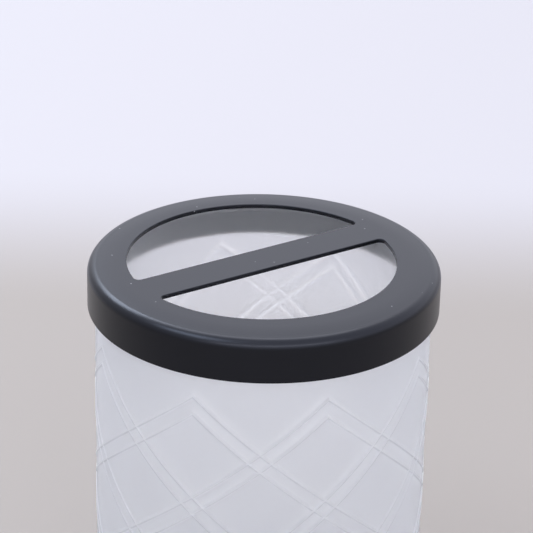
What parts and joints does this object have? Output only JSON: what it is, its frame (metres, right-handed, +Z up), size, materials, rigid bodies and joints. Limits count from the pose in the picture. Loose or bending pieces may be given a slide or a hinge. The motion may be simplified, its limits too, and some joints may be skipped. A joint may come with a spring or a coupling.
{
  "type": "toothbrush holder",
  "caption": "Round frosted-glass tumbler with a raised diamond lattice, under a black steel lid whose round opening is crossed by a straight bar.",
  "frame": {"origin": "centre of the foot of the glass, on the surface it stands on", "axes": "+Z up along the axis of the tumbler; the bar of the lid runs along X"},
  "size_m": [0.078, 0.078, 0.105],
  "materials": {
    "frosted_glass": "frosted, satin, with raised lattice lines",
    "soft_liner": "soft black rubber, matt",
    "black_coated_steel": "satin black powder coat on pressed steel"
  },
  "bodies": {
    "glass": {"glass_tumbler": "frosted_glass"},
    "liner": {"lid_liner_ring": "soft_liner"},
    "lid": {"lid_cap": "black_coated_steel"}
  },
  "joints": [
    {"name": "lid_lift", "type": "slide", "parent": "glass", "child": "liner", "axis": [0, 0, 1], "range_m": [0, 0.06]},
    {"name": "lid_turn", "type": "hinge", "parent": "liner", "child": "lid", "pos_m": [0, 0, 0.1], "axis": [0, 0, 1], "continuous": true}
  ]
}
